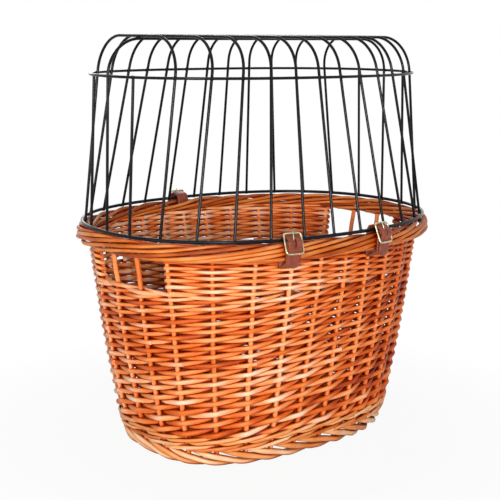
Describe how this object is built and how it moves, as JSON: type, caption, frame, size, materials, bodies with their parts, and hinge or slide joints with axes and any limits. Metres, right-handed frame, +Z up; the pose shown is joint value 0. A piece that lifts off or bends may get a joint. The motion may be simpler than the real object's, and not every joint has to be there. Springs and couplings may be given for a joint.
{
  "type": "bicycle basket",
  "caption": "Oval wicker bicycle basket for a small pet, with woven side handles and a black wire cage lid that hinges at the rear and is held by buckled leather straps.",
  "frame": {"origin": "middle of the oval that the basket stands on", "axes": "+X along the basket to its right end, +Y to the rear where the lid hinges, +Z up"},
  "size_m": [0.492, 0.3953, 0.53],
  "materials": {
    "stained_willow": "gloss varnish",
    "pale_willow": "gloss varnish",
    "black_wire": "gloss black",
    "brown_leather": "satin",
    "pale_brass": "polished"
  },
  "bodies": {
    "basket": {"base_mat": "stained_willow", "foot_border": "stained_willow", "upsett_wale": "stained_willow", "siding": "stained_willow", "rear_side_panel": "stained_willow", "front_side_panel": "stained_willow", "rim_border": "stained_willow", "handle_stake_1": "pale_willow", "handle_stake_2": "pale_willow", "handle_stake_3": "pale_willow", "handle_stake_4": "pale_willow", "rear_strap": "brown_leather", "front_left_strap": "brown_leather", "front_right_strap": "brown_leather", "rear_buckle": "pale_brass", "front_left_buckle": "pale_brass", "front_right_buckle": "pale_brass"},
    "cage_lid": {"lower_ring": "black_wire", "upper_ring": "black_wire", "cross_arch_01": "black_wire", "cross_arch_02": "black_wire", "cross_arch_03": "black_wire", "cross_arch_04": "black_wire", "cross_arch_05": "black_wire", "cross_arch_06": "black_wire", "cross_arch_07": "black_wire", "cross_arch_08": "black_wire", "cross_arch_09": "black_wire", "cross_arch_10": "black_wire", "cross_arch_11": "black_wire", "cross_arch_12": "black_wire", "ridge_wire": "black_wire", "right_rear_upright": "black_wire", "right_front_upright": "black_wire", "left_rear_upright": "black_wire", "left_front_upright": "black_wire"},
    "rear_buckle_tongue": {"rear_tongue": "pale_brass"},
    "front_left_buckle_tongue": {"front_left_tongue": "pale_brass"},
    "front_right_buckle_tongue": {"front_right_tongue": "pale_brass"}
  },
  "joints": [
    {"name": "lid_hinge", "type": "hinge", "parent": "basket", "child": "cage_lid", "pos_m": [0, 0.18, 0.29555], "axis": [-1, 0, 0], "range_deg": [0, 110], "deforming": ["front_left_strap", "front_right_strap"]},
    {"name": "rear_tongue_hinge", "type": "hinge", "parent": "basket", "child": "rear_buckle_tongue", "pos_m": [0, 0.1919, 0.29305], "axis": [-1, 0, 0], "range_deg": [0, 100], "deforming": ["rear_strap"]},
    {"name": "front_left_tongue_hinge", "type": "hinge", "parent": "basket", "child": "front_left_buckle_tongue", "pos_m": [-0.09287, -0.18292, 0.29305], "axis": [0.975, -0.2224, 0], "range_deg": [0, 100]},
    {"name": "front_right_tongue_hinge", "type": "hinge", "parent": "basket", "child": "front_right_buckle_tongue", "pos_m": [0.04709, -0.19005, 0.29305], "axis": [0.996, 0.0894, 0], "range_deg": [0, 100]}
  ]
}
